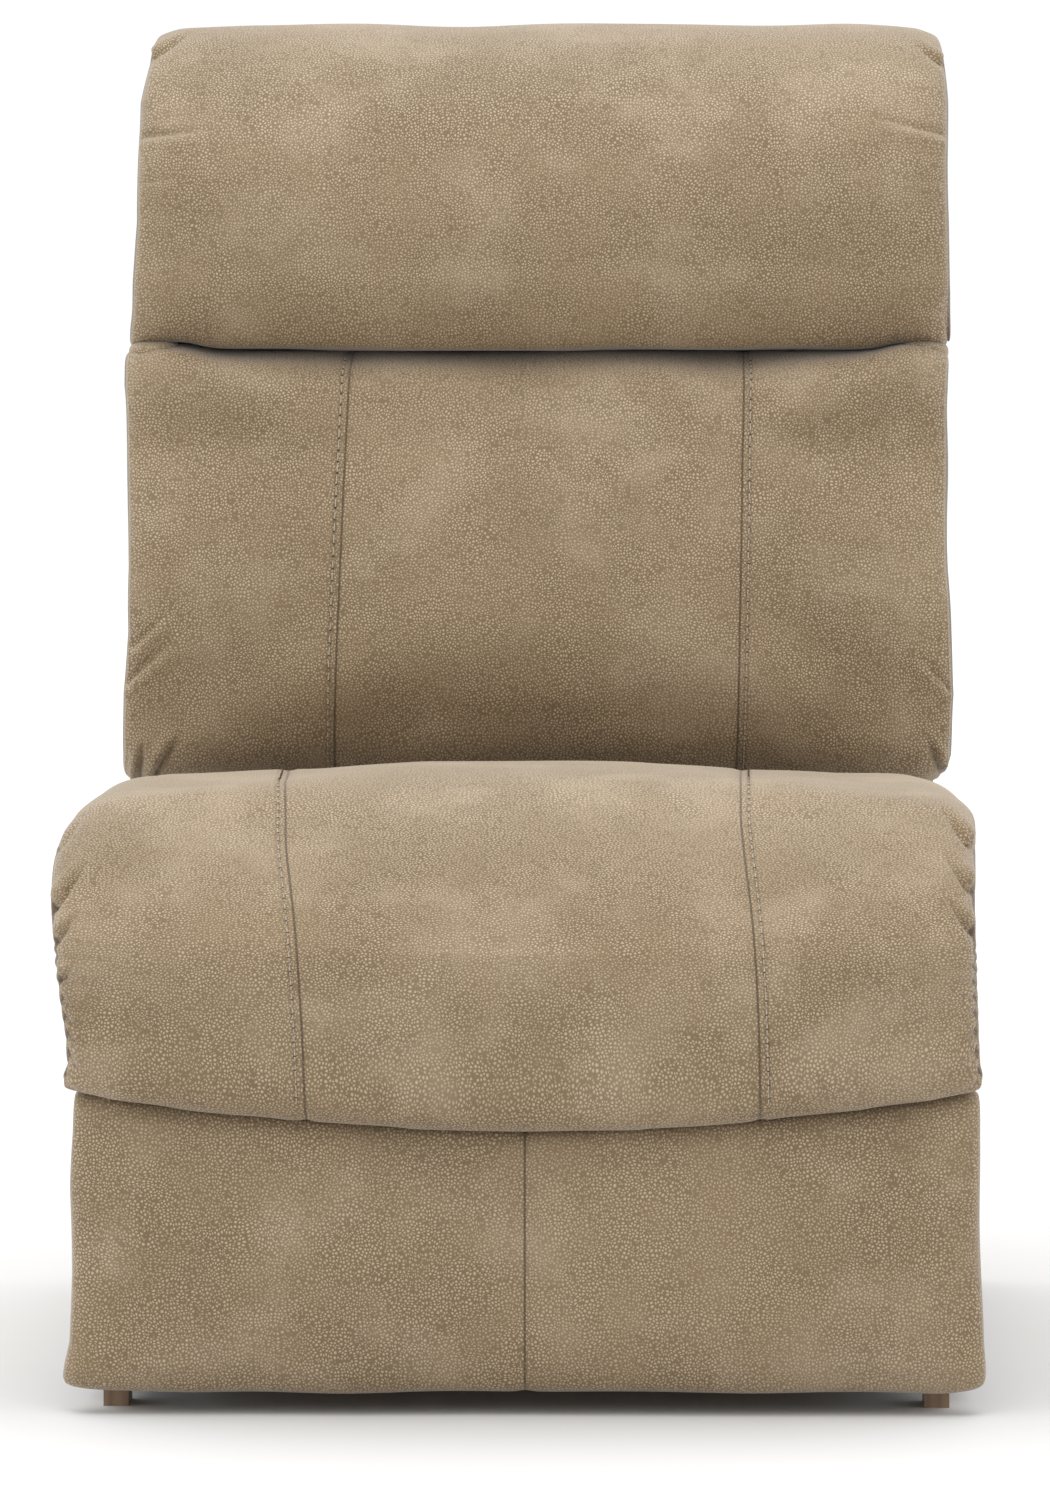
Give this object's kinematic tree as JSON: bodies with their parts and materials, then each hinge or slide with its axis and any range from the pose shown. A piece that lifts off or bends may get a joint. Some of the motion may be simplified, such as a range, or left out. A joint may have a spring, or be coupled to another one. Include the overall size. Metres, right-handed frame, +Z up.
{
  "type": "armless reclining sofa seat",
  "caption": "Armless power reclining seat of a sectional sofa: padded back with head bolster, seat with a front roll, and a padded panel that swings out as a footrest.",
  "frame": {"origin": "floor level under the middle of the bounding box", "axes": "+X across the seat, to the right as the picture shows it; the front faces -Y; +Z up"},
  "size_m": [0.66, 1.02, 1.04],
  "materials": {
    "upholstery": "matte",
    "frame_wood": "matte",
    "foot_wood": "satin",
    "dark_steel": "satin",
    "bright_steel": "satin",
    "black_plastic": "matte",
    "button_plastic": "satin",
    "nylon": "satin",
    "strap": "matte"
  },
  "bodies": {
    "base": {"base_rail_left": "dark_steel", "base_rail_right": "dark_steel", "base_tubes": "dark_steel", "feet": "foot_wood", "rod_anchor": "dark_steel", "actuator_rod": "bright_steel"},
    "carriage": {"slide_blocks": "nylon", "slide_bushes": "nylon", "mechanism_plate_left": "dark_steel", "mechanism_plate_right": "dark_steel", "plate_pins": "bright_steel", "back_pivot_pins": "bright_steel", "drive_tube": "dark_steel", "actuator_gearbox": "black_plastic", "actuator_motor": "black_plastic", "power_inlet": "black_plastic", "actuator_tube": "black_plastic", "seat_side_rail_left": "frame_wood", "seat_side_rail_right": "frame_wood", "seat_front_rail": "frame_wood", "seat_rear_rail": "frame_wood", "seat_straps": "strap", "rail_bolts": "bright_steel", "seat_cushion": "upholstery", "side_panel_left": "upholstery", "side_panel_right": "upholstery", "switch_plate": "black_plastic"},
    "rear_links": {"rear_link_left": "dark_steel", "rear_link_right": "dark_steel", "elbow_pins": "bright_steel", "torque_tube": "dark_steel"},
    "front_links": {"front_link_left": "dark_steel", "front_link_right": "dark_steel", "front_link_pins": "bright_steel"},
    "upper_links": {"upper_link_left": "dark_steel", "upper_link_right": "dark_steel", "upper_link_pins": "bright_steel"},
    "control_links": {"control_link_left": "dark_steel", "control_link_right": "dark_steel"},
    "footrest": {"footrest_bracket_left": "dark_steel", "footrest_bracket_right": "dark_steel", "bracket_pins": "bright_steel", "footrest_board": "frame_wood", "board_screws": "bright_steel", "footrest_cushion": "upholstery"},
    "back": {"back_bracket_left": "dark_steel", "back_bracket_right": "dark_steel", "bracket_bolts": "bright_steel", "back_stile_left": "frame_wood", "back_stile_right": "frame_wood", "back_top_rail": "frame_wood", "back_lower_rail": "frame_wood", "back_straps": "strap", "outside_back": "upholstery", "back_side_left": "upholstery", "back_side_right": "upholstery", "lumbar_cushion": "upholstery", "head_bolster": "upholstery"},
    "recline_button": {"recline_button": "button_plastic"},
    "return_button": {"return_button": "button_plastic"}
  },
  "joints": [
    {"name": "seat_glide", "type": "slide", "parent": "base", "child": "carriage", "axis": [0, -1, 0], "range_m": [0, 0.09]},
    {"name": "rear_link_swing", "type": "hinge", "parent": "carriage", "child": "rear_links", "pos_m": [0, -0.325, 0.2], "axis": [-1, 0, 0], "range_deg": [0, 95]},
    {"name": "front_link_swing", "type": "hinge", "parent": "carriage", "child": "front_links", "pos_m": [0, -0.36106, 0.23606], "axis": [-1, 0, 0], "range_deg": [0, 95]},
    {"name": "elbow", "type": "hinge", "parent": "rear_links", "child": "upper_links", "pos_m": [0, -0.28017, 0.05058], "axis": [-1, 0, 0], "range_deg": [-95, 0]},
    {"name": "footrest_turn", "type": "hinge", "parent": "upper_links", "child": "footrest", "pos_m": [0, -0.41028, 0.18069], "axis": [-1, 0, 0], "range_deg": [0, 95]},
    {"name": "control_elbow", "type": "hinge", "parent": "front_links", "child": "control_links", "pos_m": [0, -0.30646, 0.05408], "axis": [-1, 0, 0], "range_deg": [-95, 0]},
    {"name": "back_recline", "type": "hinge", "parent": "carriage", "child": "back", "pos_m": [0, 0.265, 0.345], "axis": [-1, 0, 0], "range_deg": [0, 34]},
    {"name": "recline_press", "type": "slide", "parent": "carriage", "child": "recline_button", "axis": [-1, 0, 0], "range_m": [0, 0.002], "stiffness_N_per_m": 600},
    {"name": "return_press", "type": "slide", "parent": "carriage", "child": "return_button", "axis": [-1, 0, 0], "range_m": [0, 0.002], "stiffness_N_per_m": 600}
  ],
  "couplings": [
    {"joint": "rear_link_swing", "follows": "seat_glide", "rad_per_m": 18.42},
    {"joint": "front_link_swing", "follows": "seat_glide", "rad_per_m": 18.42},
    {"joint": "elbow", "follows": "seat_glide", "rad_per_m": -18.42},
    {"joint": "footrest_turn", "follows": "seat_glide", "rad_per_m": 18.42},
    {"joint": "control_elbow", "follows": "seat_glide", "rad_per_m": -18.42}
  ]
}
